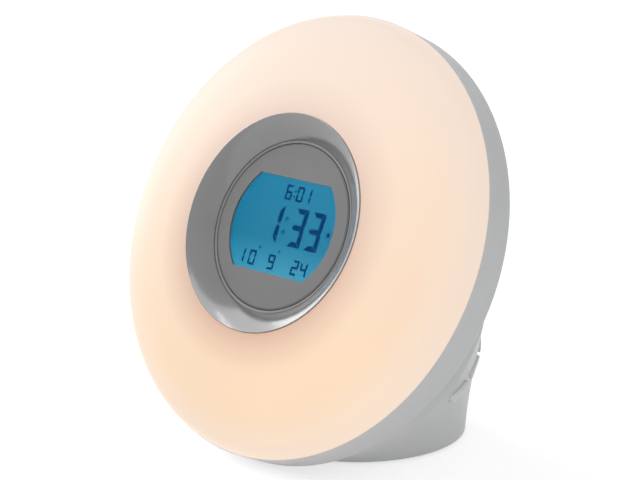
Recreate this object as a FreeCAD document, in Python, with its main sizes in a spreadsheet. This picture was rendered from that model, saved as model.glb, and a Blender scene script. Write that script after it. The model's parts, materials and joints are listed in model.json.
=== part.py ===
import FreeCAD, Part
import math
import os
import re

import Sketcher
from FreeCAD import Placement, Rotation, Vector

# Sunrise alarm clock: a glowing disc that leans back on a trumpet-shaped foot.
# Millimetres, +Z up, the disc faces -Y, and the origin lies on the floor under the middle of the part.

SIZES = [
    # name, value, meaning
    ("disc_radius", 100, "radius of the disc"),
    ("tilt", 25, "how far the disc leans back from upright, degrees"),
    ("disc_height", 98.2, "height of the disc's centre above the floor"),
    ("disc_forward", 18.9, "how far the disc's centre lies in front of the origin"),
    ("wall", 2.4, "wall of the rear housing"),
    ("rim_depth", 16, "depth of the rim band behind the diffuser"),
    ("rim_round", 2, "bevel of the rim's back edge"),
    ("fit_gap", 0.3, "clearance between pieces that plug together"),
    ("dome_centre", 30, "radius at which the diffuser's ellipse has its middle"),
    ("dome_rise", 21.6, "height of the diffuser's ellipse"),
    ("diffuser_step", 0.3, "step from the rim in to the diffuser's edge"),
    ("diffuser_wall", 2.2, "wall of the diffuser"),
    ("skirt_depth", 7, "depth of the skirt that plugs into the rim"),
    ("hook_reach", 0.9, "how far the snap bead stands out of the skirt"),
    ("hook_height", 1.4, "height of the snap bead"),
    ("bezel_radius", 48.84, "outer radius of the bezel"),
    ("bezel_lip", 0.5, "how far the bezel stands above the diffuser"),
    ("bezel_inner", 38.5, "inner radius of the bezel"),
    ("bezel_floor", 14.1, "height of the bezel's inner edge"),
    ("bezel_wall", 1.8, "wall of the bezel"),
    ("bezel_sag", 60, "radius of the bezel's dished section"),
    ("face_radius", 37.2, "radius of the display face"),
    ("face_level", 13.6, "height of the display face"),
    ("face_wall", 1.3, "wall of the display face"),
    ("face_round", 0.9, "bevel of the face's edge"),
    ("window_radius", 29.9, "radius of the window's round sides"),
    ("window_half", 21.3, "half height of the window"),
    ("lens_recess", 0.3, "how far the lens lies below the face"),
    ("lcd_width", 61, "width of the display cell"),
    ("lcd_height", 44, "height of the display cell"),
    ("lcd_wall", 2.2, "thickness of the display cell"),
    ("guide_height", 37, "height of the light guide behind the cell"),
    ("guide_wall", 3, "thickness of the light guide"),
    ("strip_wall", 2, "thickness of the contact strips"),
    ("cup_radius", 48.7, "outer radius of the display cup"),
    ("cup_wall", 2, "wall of the display cup"),
    ("cup_top", 15.4, "height of the display cup's edge"),
    ("cup_screw_count", 3, "number of screws that hold the display cup"),
    ("shelf_wall", 3.3, "thickness of the cup's shelf"),
    ("tray_level", -8, "height of the reflector tray's floor"),
    ("tray_wall", 1.6, "wall of the reflector tray"),
    ("tray_radius", 94.4, "outer radius of the reflector tray"),
    ("tray_inner", 44, "radius of the tray's middle opening"),
    ("post_circle", 87, "radius of the circle of tray posts"),
    ("post_radius", 3.6, "radius of a screw post"),
    ("post_count", 6, "number of tray posts"),
    ("screw_radius", 1.4, "radius of a screw's thread"),
    ("screw_head", 2.7, "radius of a screw's head"),
    ("screw_head_height", 1.8, "height of a screw's head"),
    ("screw_gap", 0.1, "clearance round a screw's thread"),
    ("head_sink", 0.8, "how deep the screw heads under the base are sunk"),
    ("screw_length", 8, "length of a long screw's thread"),
    ("short_screw", 5, "length of a short screw's thread"),
    ("board_wall", 1.6, "thickness of every circuit board"),
    ("led_circle", 68, "radius of the circle of lamps"),
    ("led_count", 24, "number of lamps"),
    ("led_size", 5, "side of a lamp"),
    ("led_height", 1.5, "height of a lamp"),
    ("led_board_half", 10, "half width of the lamp board's ring"),
    ("main_board_radius", 42, "radius of the main board"),
    ("main_board_level", 0, "height of the main board's back"),
    ("main_post_circle", 38.4, "radius of the circle of main board posts"),
    ("neck_radius", 96.1, "radius of the foot's neck where it leaves the disc"),
    ("neck_drop", 1.9, "how far the neck's centre lies below the disc's"),
    ("neck_depth", 15, "depth behind the diffuser at which the neck starts"),
    ("room_radius", 72, "radius of the foot's hollow where it opens into the disc"),
    ("room_drop", 12, "how far that opening's centre lies below the disc's"),
    ("foot_wall", 3.6, "wall of the foot from its middle down"),
    ("waist_half_width", 67.6, "half width of the foot's middle section"),
    ("waist_half_depth", 51.7, "half depth of the foot's middle section"),
    ("waist_back", 8.8, "how far the middle section's centre lies behind the origin"),
    ("waist_height", 30, "height of the middle section's centre"),
    ("waist_angle", 32.5, "slope of the middle section, degrees"),
    ("foot_radius", 49.6, "radius of the foot's lower edge"),
    ("foot_back", 17.1, "how far the foot's centre lies behind the origin"),
    ("foot_gap", 1.2, "height of the foot's lower edge above the floor"),
    ("groove_radius", 100.8, "radius of the path of the groove behind the rim"),
    ("groove_drop", 20, "how far the groove's centre lies below the disc's"),
    ("groove_depth", 27, "depth of the groove's centre behind the diffuser"),
    ("groove_section", 18, "radius of the groove's section"),
    ("key_length", 12.6, "length of a side key"),
    ("key_width", 5.4, "width of a side key"),
    ("key_pitch", 16.4, "distance between the side keys"),
    ("key_proud", 0.8, "how far a key stands out of the housing"),
    ("key_travel", 0.6, "how far a key moves when pressed"),
    ("key_slack", 0.2, "gap between a pressed key and its switch"),
    ("key_flange", 1.2, "how far a key's flange reaches past the key"),
    ("key_flange_wall", 1.2, "thickness of a key's flange"),
    ("key_back", 35, "how far the middle side key lies behind the disc's centre"),
    ("key_below", 53.3, "how far the middle side key lies below the disc's centre"),
    ("key_rise", 18, "slope of the row of side keys, degrees"),
    ("snooze_length", 34, "length of the snooze key"),
    ("snooze_width", 11, "width of the snooze key"),
    ("snooze_above", 22, "how far the snooze key lies above the disc's centre"),
    ("switch_size", 6, "side of a key switch"),
    ("switch_height", 3.5, "height of a key switch's case"),
    ("plunger_radius", 1.7, "radius of a switch's plunger"),
    ("plunger_height", 1.5, "height of a switch's plunger"),
    ("board_drop", 18.5, "depth of a key board's face below the housing's surface"),
    ("key_board_width", 17, "width of a key board"),
    ("key_board_margin", 6, "how far a key board reaches past its outer keys"),
    ("key_post_radius", 2.6, "radius of a key board's post"),
    ("base_wall", 2.5, "thickness of the base plate"),
    ("pad_radius", 5, "radius of a rubber foot"),
    ("pad_spread", 29, "distance of the rubber feet from the base's middle, each way"),
    ("base_lip", 1.4, "wall of the housing round the base plate"),
    ("base_post_circle", 43, "radius of the circle of base plate posts"),
    ("base_post_count", 3, "number of base plate posts"),
    ("base_post_height", 14, "height of a base plate post"),
    ("cell_radius", 10, "radius of the backup cell"),
    ("cell_height", 3.2, "height of the backup cell"),
    ("cell_front", 16, "how far the cell lies in front of the base's middle"),
    ("cell_wall", 1.6, "wall of the cell's pocket"),
    ("door_radius", 13.4, "radius of the battery door"),
    ("door_tab", 19, "reach of the battery door's screw tab"),
    ("door_wall", 1.4, "thickness of the battery door"),
    ("speaker_radius", 20, "radius of the loudspeaker"),
    ("speaker_below", 16, "how far the loudspeaker lies below the disc's centre"),
    ("speaker_seat", 10, "depth of the loudspeaker's seat below the housing's surface"),
    ("speaker_flange", 2, "how far the loudspeaker's flange reaches past its basket"),
    ("speaker_sheet", 1.2, "thickness of the loudspeaker's sheet metal"),
    ("speaker_depth", 10, "depth of the loudspeaker's basket"),
    ("magnet_radius", 12, "radius of the loudspeaker's magnet"),
    ("magnet_height", 8, "height of the loudspeaker's magnet"),
    ("collar_radius", 26.5, "outer radius of the loudspeaker's collar"),
    ("speaker_mouth", 5, "depth of the room in front of the loudspeaker"),
    ("speaker_screw_count", 3, "number of screws that hold the loudspeaker's flange"),
    ("slot_width", 2, "width of a grille slot"),
    ("slot_pitch", 4.6, "distance between the grille slots"),
    ("slot_count", 7, "number of grille slots"),
    ("power_post", 8.5, "height of the power board above the base plate"),
    ("power_board_width", 36, "width of the power board"),
    ("power_board_front", 5, "how far the power board starts behind the base's middle"),
    ("power_board_depth", 32, "depth of the power board"),
    ("jack_width", 9, "width of the power inlet"),
    ("jack_tall", 11, "height of the power inlet"),
    ("jack_long", 14, "length of the power inlet's case"),
    ("jack_back", 1.5, "gap between the power inlet's case and the housing's wall"),
    ("jack_nose", 4, "radius of the power inlet's nose"),
    ("jack_bore", 2.8, "radius of the power inlet's bore"),
    ("jack_pin", 1, "radius of the power inlet's pin"),
    ("jack_depth", 9, "depth of the power inlet's bore"),
]

doc = FreeCAD.newDocument("sunrise_alarm_clock")
sheet = doc.addObject("Spreadsheet::Sheet", "Sizes")
for row, (name, number, meaning) in enumerate(SIZES, start=1):
    sheet.set("A%d" % row, meaning)
    sheet.set("B%d" % row, str(number))
    sheet.setAlias("B%d" % row, name)
doc.recompute()
NAMES = {name for name, number, meaning in SIZES}
SUB_PARTS = []

# Where the circles of screws start, degrees from the X axis, and how many posts hold the main board
BASE_START = 30
CUP_START = 30
MAIN_POSTS = "4"


def bound(text):
    """Writes the sheet's name in front of each size that a formula uses."""
    return re.sub(r"[a-z_]+", lambda m: "Sizes." + m[0] if m[0] in NAMES else m[0], text)


def size(text):
    """The value of a formula of sizes."""
    return float(sheet.evalExpression(bound(text)))


def sub_part(item, label):
    """Notes a finished piece and gives it its name."""
    item.Label = label
    SUB_PARTS.append(item)
    return item


# Frames: the disc's own frame has Z along its axis, out of the front, and Y up its face

def on_disc(item):
    """Puts a piece that was built in the disc's frame where the disc is."""
    item.Placement = Placement(Vector(0, 0, 0), Rotation(Vector(1, 0, 0), size("90 - tilt")))
    item.setExpression("Placement.Base.y", bound("-disc_forward"))
    item.setExpression("Placement.Base.z", bound("disc_height"))
    item.setExpression("Placement.Rotation.Angle", bound("(90 - tilt) * 1 deg"))
    return item


def disc_frame():
    """The disc's frame as a placement, for shapes worked out here."""
    centre = Vector(0, size("-disc_forward"), size("disc_height"))
    return Placement(centre, Rotation(Vector(1, 0, 0), size("90 - tilt")))


def on_base(item):
    """Puts a piece that was built on the base plate's underside where that is."""
    item.setExpression("Placement.Base.y", bound("foot_back"))
    item.setExpression("Placement.Base.z", bound("foot_gap"))
    return item


def base_frame():
    """The base plate's frame as a placement."""
    return Placement(Vector(0, size("foot_back"), size("foot_gap")), Rotation())


# Sketch helpers

def new_body(name):
    return doc.addObject("PartDesign::Body", name)


def new_sketch(body, role="XY_Plane", level="0"):
    """A sketch on one of the body's own planes, lifted off it by a formula of sizes."""
    sketch = body.newObject("Sketcher::SketchObject", body.Name + "_sketch")
    plane = [f for f in body.Origin.OriginFeatures if f.Role == role][0]
    sketch.AttachmentSupport = [(plane, "")]
    sketch.MapMode = "FlatFace"
    sketch.setExpression("AttachmentOffset.Base.z", bound(level))
    return sketch


def pin_point(sketch, geo, end, across, along):
    """Ties a point's place to formulas of sizes."""
    for kind, text in (("DistanceX", across), ("DistanceY", along)):
        number = size(text)
        if number < 0:
            rule = Sketcher.Constraint(kind, geo, end, -1, 1, -number)
            text = "-(%s)" % text
        else:
            rule = Sketcher.Constraint(kind, -1, 1, geo, end, number)
        index = sketch.addConstraint(rule)
        sketch.setExpression("Constraints[%d]" % index, bound(text))


def outline(sketch, points):
    """A closed outline. Each point is (x, y), or (x, y, radius, side) where the run that ends there
    is an arc that bulges to the left (side 1) or to the right (side -1) of its way."""
    places = [Vector(size(p[0]), size(p[1]), 0) for p in points]
    ends = []
    for k, point in enumerate(points):
        start, stop = places[k - 1], places[k]
        if len(point) == 2:
            geo = sketch.addGeometry(Part.LineSegment(start, stop), False)
            ends.append((geo, 1, 2))
            continue
        radius = size(point[2])
        chord = stop - start
        rise = radius - math.sqrt(radius ** 2 - (chord.Length / 2) ** 2)
        side = Vector(-chord.y, chord.x, 0).normalize() * rise * point[3]
        geo = sketch.addGeometry(Part.Arc(start, (start + stop) / 2 + side, stop), False)
        forward = sketch.getPoint(geo, 1).distanceToPoint(start) < sketch.getPoint(geo, 2).distanceToPoint(start)
        ends.append((geo, 1, 2) if forward else (geo, 2, 1))
        index = sketch.addConstraint(Sketcher.Constraint("Radius", geo, radius))
        sketch.setExpression("Constraints[%d]" % index, bound(point[2]))
    for k, point in enumerate(points):
        this, following = ends[k], ends[(k + 1) % len(points)]
        sketch.addConstraint(Sketcher.Constraint("Coincident", this[0], this[2], following[0], following[1]))
        pin_point(sketch, this[0], this[2], point[0], point[1])


def circle(sketch, radius, across="0", along="0"):
    """A circle whose radius and centre follow formulas of sizes."""
    centre = Vector(size(across), size(along), 0)
    geo = sketch.addGeometry(Part.Circle(centre, Vector(0, 0, 1), size(radius)), False)
    index = sketch.addConstraint(Sketcher.Constraint("Radius", geo, size(radius)))
    sketch.setExpression("Constraints[%d]" % index, bound(radius))
    pin_point(sketch, geo, 3, across, along)


def rectangle(sketch, half_width, half_height):
    """A rectangle round the sketch's origin."""
    outline(sketch, [
        ("-(%s)" % half_width, "-(%s)" % half_height),
        (half_width, "-(%s)" % half_height),
        (half_width, half_height),
        ("-(%s)" % half_width, half_height),
    ])


def revolve(body, points):
    """Turns an outline of radius and height about the body's Z axis."""
    sketch = new_sketch(body, "XZ_Plane")
    outline(sketch, points)
    turn = body.newObject("PartDesign::Revolution", body.Name + "_turn")
    turn.Profile = sketch
    turn.ReferenceAxis = (sketch, ["V_Axis"])
    turn.Angle = 360
    return turn


def pad(body, sketch, length):
    feature = body.newObject("PartDesign::Pad", body.Name + "_pad")
    feature.Profile = sketch
    feature.setExpression("Length", bound(length))
    return feature


def pocket(body, sketch, length="0", down=True):
    """Cuts a sketch into the body: downwards from it, or upwards where down is False."""
    feature = body.newObject("PartDesign::Pocket", body.Name + "_pocket")
    feature.Profile = sketch
    feature.Reversed = not down
    if length == "0":
        feature.Type = 1
    else:
        feature.setExpression("Length", bound(length))
    return feature


# Boolean helpers for pieces made of simple solids

def joined(name, kind, base, tool):
    item = doc.addObject(kind, name)
    item.Base = base
    item.Tool = tool
    return item


def fixed(name, shape):
    """A helper solid whose shape is worked out here from the sheet's sizes."""
    item = doc.addObject("Part::Feature", name)
    item.Shape = shape
    return item


def along_axis(shape, start, direction):
    """Stands a shape that was built along +Z on a point, looking along a direction."""
    shape.Placement = Placement(start, Rotation(Vector(0, 0, 1), direction)).multiply(shape.Placement)
    return shape


def screw(point, direction, length):
    """A hex-head screw whose head's underside lies on the point and whose thread runs along the direction."""
    corners = ring_points(size("screw_head"), 6, -size("screw_head_height"))
    head = Part.Face(Part.makePolygon(corners + corners[:1])).extrude(Vector(0, 0, size("screw_head_height")))
    thread = Part.makeCylinder(size("screw_radius"), length)
    return along_axis(head.fuse(thread).removeSplitter(), point, direction)


def ring_points(radius, count, level=0.0, start=0.0):
    """Points evenly round the Z axis."""
    angles = [math.radians(start + 360.0 * k / count) for k in range(count)]
    return [Vector(radius * math.cos(a), radius * math.sin(a), level) for a in angles]


def group(label, solids, frame=None):
    """One node that holds several separate solids."""
    item = doc.addObject("Part::Feature", label)
    item.Shape = Part.makeCompound(solids)
    if frame is not None:
        item.Placement = frame
    return sub_part(item, label)


# Rear housing: the rim band, the trumpet foot, the groove and the posts inside

def foot_neck(name, radius, drop, depth):
    """The ring where the foot leaves the disc, at a depth behind the diffuser."""
    ring = doc.addObject("Part::Circle", name)
    on_disc(ring)
    ring.setExpression("Radius", bound(radius))
    ring.setExpression("Placement.Base.y",
                       bound("-disc_forward - %s * sin(tilt) + (%s) * cos(tilt)" % (drop, depth)))
    ring.setExpression("Placement.Base.z",
                       bound("disc_height - %s * cos(tilt) - (%s) * sin(tilt)" % (drop, depth)))
    return ring


def foot_waist(name, inset):
    """The sloping oval ring halfway down the foot, drawn in by a formula."""
    ring = doc.addObject("Part::Ellipse", name)
    ring.Placement = Placement(Vector(0, 0, 0), Rotation(Vector(1, 0, 0), size("waist_angle")))
    ring.setExpression("MajorRadius", bound("waist_half_width - (%s)" % inset))
    ring.setExpression("MinorRadius", bound("waist_half_depth - (%s)" % inset))
    ring.setExpression("Placement.Base.y", bound("waist_back"))
    ring.setExpression("Placement.Base.z", bound("waist_height"))
    ring.setExpression("Placement.Rotation.Angle", bound("waist_angle * 1 deg"))
    return ring


def foot_loft(name, radius, drop, depth, inset):
    """A solid through the foot's neck, its waist and its lower edge."""
    lower = doc.addObject("Part::Circle", name + "_edge")
    lower.setExpression("Radius", bound("foot_radius - (%s)" % inset))
    on_base(lower)
    loft = doc.addObject("Part::Loft", name)
    loft.Sections = [foot_neck(name + "_neck", radius, drop, depth), foot_waist(name + "_waist", inset), lower]
    loft.Solid = True
    loft.Ruled = False
    return loft


def groove_ring():
    """The ring that cuts the groove behind the disc."""
    ring = doc.addObject("Part::Torus", "groove")
    on_disc(ring)
    ring.setExpression("Radius1", bound("groove_radius"))
    ring.setExpression("Radius2", bound("groove_section"))
    ring.setExpression("Placement.Base.y",
                       bound("-disc_forward - groove_drop * sin(tilt) + groove_depth * cos(tilt)"))
    ring.setExpression("Placement.Base.z",
                       bound("disc_height - groove_drop * cos(tilt) - groove_depth * sin(tilt)"))
    return ring


def housing_blank():
    """The housing's outside as one solid: rim band, back plate and grooved foot."""
    rim = new_body("rim_band")
    revolve(rim, [
        ("disc_radius", "0"),
        ("disc_radius - wall", "0"),
        ("disc_radius - wall", "-(skirt_depth - 2 * hook_height)"),
        ("disc_radius - wall + hook_reach", "-(skirt_depth - hook_height)"),
        ("disc_radius - wall", "-skirt_depth"),
        ("disc_radius - wall", "-(rim_depth - wall)"),
        ("0", "-(rim_depth - wall)"),
        ("0", "-rim_depth"),
        ("disc_radius - rim_round", "-rim_depth"),
        ("disc_radius - 0.3 * rim_round", "-(rim_depth - 0.3 * rim_round)"),
        ("disc_radius", "-(rim_depth - rim_round)"),
    ])
    on_disc(rim)
    foot = foot_loft("foot_skin", "neck_radius", "neck_drop", "neck_depth", "0")
    grooved = joined("grooved_foot", "Part::Cut", foot, groove_ring())
    return joined("housing_blank", "Part::Fuse", rim, grooved), foot


def skin_hit(skin, start, direction):
    """Where a ray from inside leaves the foot's skin, and the skin's outward direction there."""
    reach = size("disc_radius") * 4
    inside = Part.makeLine(start, start + direction * reach).common(skin)
    point = max((v.Point for v in inside.Vertexes), key=lambda p: (p - start).dot(direction))
    face = min(skin.Faces, key=lambda f: f.distToShape(Part.Vertex(point))[0])
    across, along = face.Surface.parameter(point)
    normal = face.normalAt(across, along)
    if normal.dot(direction) < 0:
        normal = normal * -1
    return point, normal.normalize()


def station_frame(point, normal, along):
    """A frame on the skin: Z out of it and X as near as can be to a direction."""
    lengthwise = (along - normal * along.dot(normal)).normalize()
    return Placement(point, Rotation(lengthwise, normal.cross(lengthwise), normal, "ZXY"))


def stadium(length, width, low, high, across=0.0):
    """An upright prism with round ends, along X."""
    half = (length - width) / 2
    box = Part.makeBox(2 * half, width, high - low, Vector(across - half, -width / 2, low))
    for side in (-half, half):
        box = box.fuse(Part.makeCylinder(width / 2, high - low, Vector(across + side, 0, low)))
    return box.removeSplitter()


class Station:
    """A row of keys on the foot, with the board and switches behind them."""

    def __init__(self, name, skin, frame, keys, pitch, length, width, board_length, posts):
        self.name = name
        self.frame = frame
        self.keys = keys
        self.length = length
        self.width = width
        self.board_length = board_length
        self.posts = posts
        self.places = [(k - (len(keys) - 1) / 2) * pitch for k in range(len(keys))]
        self.face = -size("board_drop")
        self.flange_tops = [self.lowest(skin, place) - size("wall + fit_gap") for place in self.places]

    def height(self, skin, across, along):
        """The skin's height over a point of the station's plane."""
        inside = self.frame.multVec(Vector(across, along, self.face))
        outwards = self.frame.Rotation.multVec(Vector(0, 0, 1))
        point, normal = skin_hit(skin, inside, outwards)
        return self.frame.inverse().multVec(point).z

    def lowest(self, skin, place):
        """The skin's lowest height over a key."""
        reach = self.length / 2
        side = self.width / 2
        corners = [(-reach, 0), (reach, 0), (0, -side), (0, side)]
        return min(self.height(skin, place + x, y) for x, y in corners)

    def placed(self, shape):
        shape.Placement = self.frame.multiply(shape.Placement)
        return shape

    def holes(self):
        """What the keys need cut out of the housing: their holes and flat seats for their flanges."""
        gap, flange = size("fit_gap"), size("key_flange")
        cuts = []
        for place, top in zip(self.places, self.flange_tops):
            cuts.append(self.placed(stadium(self.length + 2 * gap, self.width + 2 * gap, top - 1, 8, place)))
            long, wide = self.length + 2 * flange + 2 * gap, self.width + 2 * flange + 2 * gap
            corner = Vector(place - long / 2, -wide / 2, self.face)
            cuts.append(self.placed(Part.makeBox(long, wide, top + gap - self.face, corner)))
        return cuts

    def post_solids(self, radius, low):
        return [self.placed(Part.makeCylinder(radius, -low, Vector(x, y, low))) for x, y in self.posts]

    def key_shape(self, skin, index):
        """A key: its cap lies along the skin, its flange keeps it in, its stem meets the switch."""
        place, top = self.places[index], self.flange_tops[index]
        flange, sheet_wall = size("key_flange"), size("key_flange_wall")
        inside = self.frame.multVec(Vector(place, 0, self.face))
        point, normal = skin_hit(skin, inside, self.frame.Rotation.multVec(Vector(0, 0, 1)))
        reach = 2 * self.length
        under = Part.makeBox(2 * reach, 2 * reach, reach, Vector(-reach, -reach, -reach))
        under.Placement = Placement(point + normal * size("key_proud"), Rotation(Vector(0, 0, 1), normal))
        cap = self.placed(stadium(self.length, self.width, top - sheet_wall, self.length, place)).common(under)
        long, wide = self.length + 2 * flange, self.width + 2 * flange
        rim = Part.makeBox(long, wide, sheet_wall, Vector(place - long / 2, -wide / 2, top - sheet_wall))
        stop = self.face + size("switch_height + plunger_height + key_travel + key_slack")
        stem = Part.makeCylinder(size("plunger_radius"), top - stop, Vector(place, 0, stop))
        return cap.fuse([self.placed(rim), self.placed(stem)]).removeSplitter()

    def switch_solids(self):
        """The switches, each a square case with a round plunger."""
        side, tall = size("switch_size"), size("switch_height")
        solids = []
        for place in self.places:
            case = Part.makeBox(side, side, tall, Vector(place - side / 2, -side / 2, self.face))
            plunger = Part.makeCylinder(size("plunger_radius"), size("plunger_height"),
                                        Vector(place, 0, self.face + tall))
            solids.append(self.placed(case.fuse(plunger).removeSplitter()))
        return solids

    def board_solid(self):
        wide, thick = size("key_board_width"), size("board_wall")
        board = Part.makeBox(self.board_length, wide, thick,
                             Vector(-self.board_length / 2, -wide / 2, self.face - thick))
        for x, y in self.posts:
            board = board.cut(Part.makeCylinder(size("screw_radius + screw_gap"), thick * 3,
                                                Vector(x, y, self.face - thick * 2)))
        return self.placed(board)

    def screw_solids(self):
        inwards = [Vector(x, y, self.face - size("board_wall")) for x, y in self.posts]
        return [self.placed(screw(point, Vector(0, 0, 1), size("short_screw"))) for point in inwards]


def make_stations(skin):
    """The right and left rows of side keys and the snooze key on the back."""
    pitch, length, width = size("key_pitch"), size("key_length"), size("key_width")
    middle = Vector(0, size("key_back - disc_forward"), size("disc_height - key_below"))
    rise = math.radians(size("key_rise"))
    board_length = 2 * pitch + 2 * size("key_board_margin")
    side_post = size("key_board_width") / 2 - size("key_post_radius")
    stations = []
    for side, name in ((1, "right"), (-1, "left")):
        point, normal = skin_hit(skin, middle, Vector(side, 0, 0))
        frame = station_frame(point, normal, Vector(0, math.cos(rise), math.sin(rise)))
        keys = ["key_%s_%s" % (name, place) for place in ("front", "middle", "rear")]
        posts = [(-pitch / 2, side_post), (pitch / 2, -side_post)]
        stations.append(Station(name, skin, frame, keys, pitch, length, width, board_length, posts))
    top = Vector(0, size("foot_back"), size("disc_height + snooze_above"))
    point, normal = skin_hit(skin, top, Vector(0, 1, 0))
    frame = station_frame(point, normal, Vector(1, 0, 0))
    long_key, wide_key = size("snooze_length"), size("snooze_width")
    reach = long_key / 2 + size("key_flange + key_post_radius + 2 * fit_gap")
    posts = [(-reach, 0), (reach, 0)]
    board_length = 2 * reach + 2 * size("key_post_radius")
    stations.append(Station("snooze", skin, frame, ["snooze_key"], 0, long_key, wide_key, board_length, posts))
    return stations


def speaker_frame(skin):
    """Frame of the loudspeaker's seat below the housing's surface: Z towards the grille."""
    inside = Vector(0, size("foot_back"), size("disc_height - speaker_below"))
    point, normal = skin_hit(skin, inside, Vector(0, 1, 0))
    return station_frame(point - normal * size("speaker_seat"), normal, Vector(1, 0, 0))


def speaker_screw_circle():
    """Radius of the circle of screws whose heads hold the loudspeaker's flange by its edge."""
    return size("speaker_radius + speaker_flange + screw_radius + 2 * fit_gap")


def jack_axis_height():
    """Height of the power inlet's axis above the base plate's underside."""
    return size("base_wall + power_post + board_wall + jack_tall / 2")


def rear_housing(stations):
    """The shell with its posts, collar, seats, holes and slots."""
    blank, foot = housing_blank()
    cavity = foot_loft("foot_room", "room_radius", "room_drop", "rim_depth - wall", "foot_wall")
    shell = joined("housing_shell", "Part::Cut", blank, cavity)
    doc.recompute()
    skin = foot.Shape
    stations.extend(make_stations(skin))

    disc, base, seat = disc_frame(), base_frame(), speaker_frame(skin)
    floor_of_rim = size("-(rim_depth - wall)")
    post_top = size("tray_level - tray_wall")
    pilot = size("screw_radius + screw_gap")
    added, taken = [], []

    for point in ring_points(size("post_circle"), int(size("post_count")), floor_of_rim - size("wall") / 2):
        post = Part.makeCylinder(size("post_radius"), post_top - point.z, point)
        hole = Part.makeCylinder(pilot, size("short_screw"), Vector(point.x, point.y, post_top - size("short_screw")))
        for solid, where in ((post, added), (hole, taken)):
            solid.Placement = disc
            where.append(solid)

    for point in ring_points(size("base_post_circle"), int(size("base_post_count")), size("base_wall"), BASE_START):
        post = Part.makeCylinder(size("post_radius"), size("base_post_height"), point)
        rib = Part.makeBox(size("foot_radius - base_post_circle"), size("wall"), size("base_post_height"),
                           Vector(size("base_post_circle"), -size("wall") / 2, size("base_wall")))
        rib.rotate(Vector(0, 0, 0), Vector(0, 0, 1), math.degrees(math.atan2(point.y, point.x)))
        hole = Part.makeCylinder(pilot, size("screw_length") + 1, point - Vector(0, 0, 1))
        for solid in (post, rib):
            solid.Placement = base.multiply(solid.Placement)
            added.append(solid.common(skin))
        hole.Placement = base
        taken.append(hole)

    for station in stations:
        low = -size("board_drop")
        added += [post.common(skin) for post in station.post_solids(size("key_post_radius"), low)]
        depth = size("board_drop - short_screw - fit_gap")
        for post in station.posts:
            hole = Part.makeCylinder(pilot, -low - depth, Vector(post[0], post[1], low))
            taken.append(station.placed(hole))
        taken += station.holes()

    collar_long = size("foot_radius")
    collar = Part.makeCylinder(size("collar_radius"), collar_long)
    collar.Placement = seat
    added.append(collar.common(skin))
    room = Part.makeCylinder(size("collar_radius"), size("speaker_depth + magnet_height"), Vector(0, 0, 0),
                             Vector(0, 0, -1))
    mouth = Part.makeCylinder(size("speaker_radius - speaker_flange"), size("speaker_mouth"))
    for solid in (room, mouth):
        solid.Placement = seat.multiply(solid.Placement)
        taken.append(solid)
    for point in ring_points(speaker_screw_circle(), int(size("speaker_screw_count")), 0, 90):
        hole = Part.makeCylinder(pilot, size("short_screw"), point)
        hole.Placement = seat
        taken.append(hole)
    grille = size("speaker_radius - 2 * speaker_flange")
    for k in range(int(size("slot_count"))):
        rise = (k - (size("slot_count") - 1) / 2) * size("slot_pitch")
        half = math.sqrt(grille ** 2 - rise ** 2)
        slot = Part.makeBox(2 * half, size("slot_width"), collar_long,
                            Vector(-half, rise - size("slot_width") / 2, 0))
        slot.Placement = seat
        taken.append(slot)

    recess = Part.makeCylinder(size("foot_radius - base_lip"), size("base_wall") + 1, Vector(0, 0, -1))
    recess.Placement = base
    nose = Part.makeCylinder(size("jack_nose + fit_gap"), size("foot_radius"),
                             Vector(0, size("foot_radius") / 2, jack_axis_height()), Vector(0, 1, 0))
    nose.Placement = base
    taken += [recess, nose]

    furniture = fixed("housing_furniture", added[0].fuse(added[1:]))
    cuts = fixed("housing_cuts", Part.makeCompound(taken))
    fitted = joined("housing_fitted", "Part::Fuse", shell, furniture)
    housing = joined("housing_finished", "Part::Cut", fitted, cuts)
    doc.recompute()
    return sub_part(housing, "rear_housing"), skin


# Front pieces: diffuser, bezel, display face and what lies behind it

def dome_point(turn, inset="0"):
    """A point of the dome's section, an ellipse, at an angle from its edge; drawn in by a formula."""
    half = size("disc_radius - diffuser_step - dome_centre - (%s)" % inset)
    rise = size("dome_rise - (%s)" % inset)
    return Vector(size("dome_centre") + half * math.cos(turn), 0, rise * math.sin(turn))


def dome_turn(radius, inset="0"):
    """The angle at which the dome's section has a radius."""
    half = size("disc_radius - diffuser_step - dome_centre - (%s)" % inset)
    return math.acos((radius - size("dome_centre")) / half)


def dome_height(radius):
    """Height of the dome's outside at a radius."""
    return dome_point(dome_turn(radius)).z


def turned(edges):
    """Turns a closed section of edges about the Z axis."""
    wire = Part.Wire(Part.__sortEdges__(edges))
    return Part.Face(wire).revolve(Vector(0, 0, 0), Vector(0, 0, 1), 360)


def run(points):
    """Straight edges through points."""
    return [Part.makeLine(a, b) for a, b in zip(points, points[1:])]


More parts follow.
